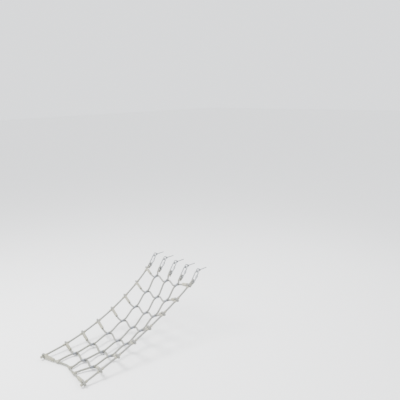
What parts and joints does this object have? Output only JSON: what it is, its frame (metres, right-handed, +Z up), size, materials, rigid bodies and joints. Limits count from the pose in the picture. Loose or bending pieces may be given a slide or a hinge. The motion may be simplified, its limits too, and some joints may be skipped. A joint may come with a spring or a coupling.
{
  "type": "cargo climbing net",
  "caption": "Sloping rope climbing net for a play tower: laid ropes clamped into a mesh, hung from eye bolts by quick links, with tails at the foot.",
  "frame": {"origin": "the middle eye bolt, where its collar meets the beam's face", "axes": "+X runs along the beam, +Y into the beam along the bolts, +Z up. The net comes down towards -Y."},
  "size_m": [0.6952, 1.4341, 0.6326],
  "materials": {
    "galvanised_steel": "hot-dip galvanised, matt",
    "rope": "weathered off-white laid polyester",
    "served_twine": "whipping twine wound over a splice",
    "ferrule_alloy": "pressed, dull grey",
    "moulded_fitting": "matt"
  },
  "bodies": {
    "bolts": {"eye_bolt_1": "galvanised_steel", "eye_bolt_2": "galvanised_steel", "eye_bolt_3": "galvanised_steel", "eye_bolt_4": "galvanised_steel", "eye_bolt_5": "galvanised_steel"},
    "link_1": {"quick_link_1": "galvanised_steel"},
    "link_2": {"quick_link_2": "galvanised_steel"},
    "link_3": {"quick_link_3": "galvanised_steel"},
    "link_4": {"quick_link_4": "galvanised_steel"},
    "link_5": {"quick_link_5": "galvanised_steel"},
    "link_nut_1": {"quick_link_nut_1": "galvanised_steel"},
    "link_nut_2": {"quick_link_nut_2": "galvanised_steel"},
    "link_nut_3": {"quick_link_nut_3": "galvanised_steel"},
    "link_nut_4": {"quick_link_nut_4": "galvanised_steel"},
    "link_nut_5": {"quick_link_nut_5": "galvanised_steel"},
    "net": {"edge_rope_left": "rope", "edge_rope_right": "rope", "inner_rope_1": "rope", "inner_rope_2": "rope", "inner_rope_3": "rope", "cross_rope_1": "rope", "cross_rope_2": "rope", "cross_rope_3": "rope", "cross_rope_4": "rope", "cross_rope_5": "rope", "cross_rope_6": "rope", "cross_rope_7": "rope", "bottom_rope": "rope", "eye_sleeve_1": "served_twine", "eye_sleeve_2": "served_twine", "eye_sleeve_3": "served_twine", "eye_sleeve_4": "served_twine", "eye_sleeve_5": "served_twine", "crossing_ferrules_1": "ferrule_alloy", "crossing_ferrules_2": "ferrule_alloy", "crossing_ferrules_3": "ferrule_alloy", "crossing_ferrules_4": "ferrule_alloy", "crossing_ferrules_5": "ferrule_alloy", "crossing_ferrules_6": "ferrule_alloy", "crossing_ferrules_7": "ferrule_alloy", "splice_sleeves_1": "served_twine", "splice_sleeves_2": "served_twine", "splice_sleeves_3": "served_twine", "splice_sleeves_4": "served_twine", "splice_sleeves_5": "served_twine", "splice_sleeves_6": "served_twine", "splice_sleeves_7": "served_twine", "foot_sleeve_left": "served_twine", "foot_sleeve_right": "served_twine", "edge_collars_left": "served_twine", "edge_collars_right": "served_twine", "foot_tees": "moulded_fitting", "tail_cap_left": "moulded_fitting", "tail_cap_right": "moulded_fitting"}
  },
  "joints": [
    {"name": "link_3_swing", "type": "hinge", "parent": "bolts", "child": "link_3", "pos_m": [0, -0.027, 0], "axis": [-1, 0, 0], "range_deg": [0, 45]},
    {"name": "link_1_swing", "type": "hinge", "parent": "bolts", "child": "link_1", "pos_m": [-0.32, -0.027, 0], "axis": [-1, 0, 0], "range_deg": [0, 45]},
    {"name": "link_2_swing", "type": "hinge", "parent": "bolts", "child": "link_2", "pos_m": [-0.16, -0.027, 0], "axis": [-1, 0, 0], "range_deg": [0, 45]},
    {"name": "link_4_swing", "type": "hinge", "parent": "bolts", "child": "link_4", "pos_m": [0.16, -0.027, 0], "axis": [-1, 0, 0], "range_deg": [0, 45]},
    {"name": "link_5_swing", "type": "hinge", "parent": "bolts", "child": "link_5", "pos_m": [0.32, -0.027, 0], "axis": [-1, 0, 0], "range_deg": [0, 45]},
    {"name": "link_1_nut_travel", "type": "slide", "parent": "link_1", "child": "link_nut_1", "axis": [0, -0.5878, -0.809], "range_m": [0, 0.015]},
    {"name": "link_2_nut_travel", "type": "slide", "parent": "link_2", "child": "link_nut_2", "axis": [0, -0.5878, -0.809], "range_m": [0, 0.015]},
    {"name": "link_3_nut_travel", "type": "slide", "parent": "link_3", "child": "link_nut_3", "axis": [0, -0.5878, -0.809], "range_m": [0, 0.015]},
    {"name": "link_4_nut_travel", "type": "slide", "parent": "link_4", "child": "link_nut_4", "axis": [0, -0.5878, -0.809], "range_m": [0, 0.015]},
    {"name": "link_5_nut_travel", "type": "slide", "parent": "link_5", "child": "link_nut_5", "axis": [0, -0.5878, -0.809], "range_m": [0, 0.015]},
    {"name": "net_swing", "type": "hinge", "parent": "link_3", "child": "net", "pos_m": [0, -0.09207, -0.08956], "axis": [-1, 0, 0], "range_deg": [0, 50]}
  ],
  "couplings": [
    {"joint": "link_1_swing", "follows": "link_3_swing", "ratio": 1},
    {"joint": "link_2_swing", "follows": "link_3_swing", "ratio": 1},
    {"joint": "link_4_swing", "follows": "link_3_swing", "ratio": 1},
    {"joint": "link_5_swing", "follows": "link_3_swing", "ratio": 1}
  ]
}
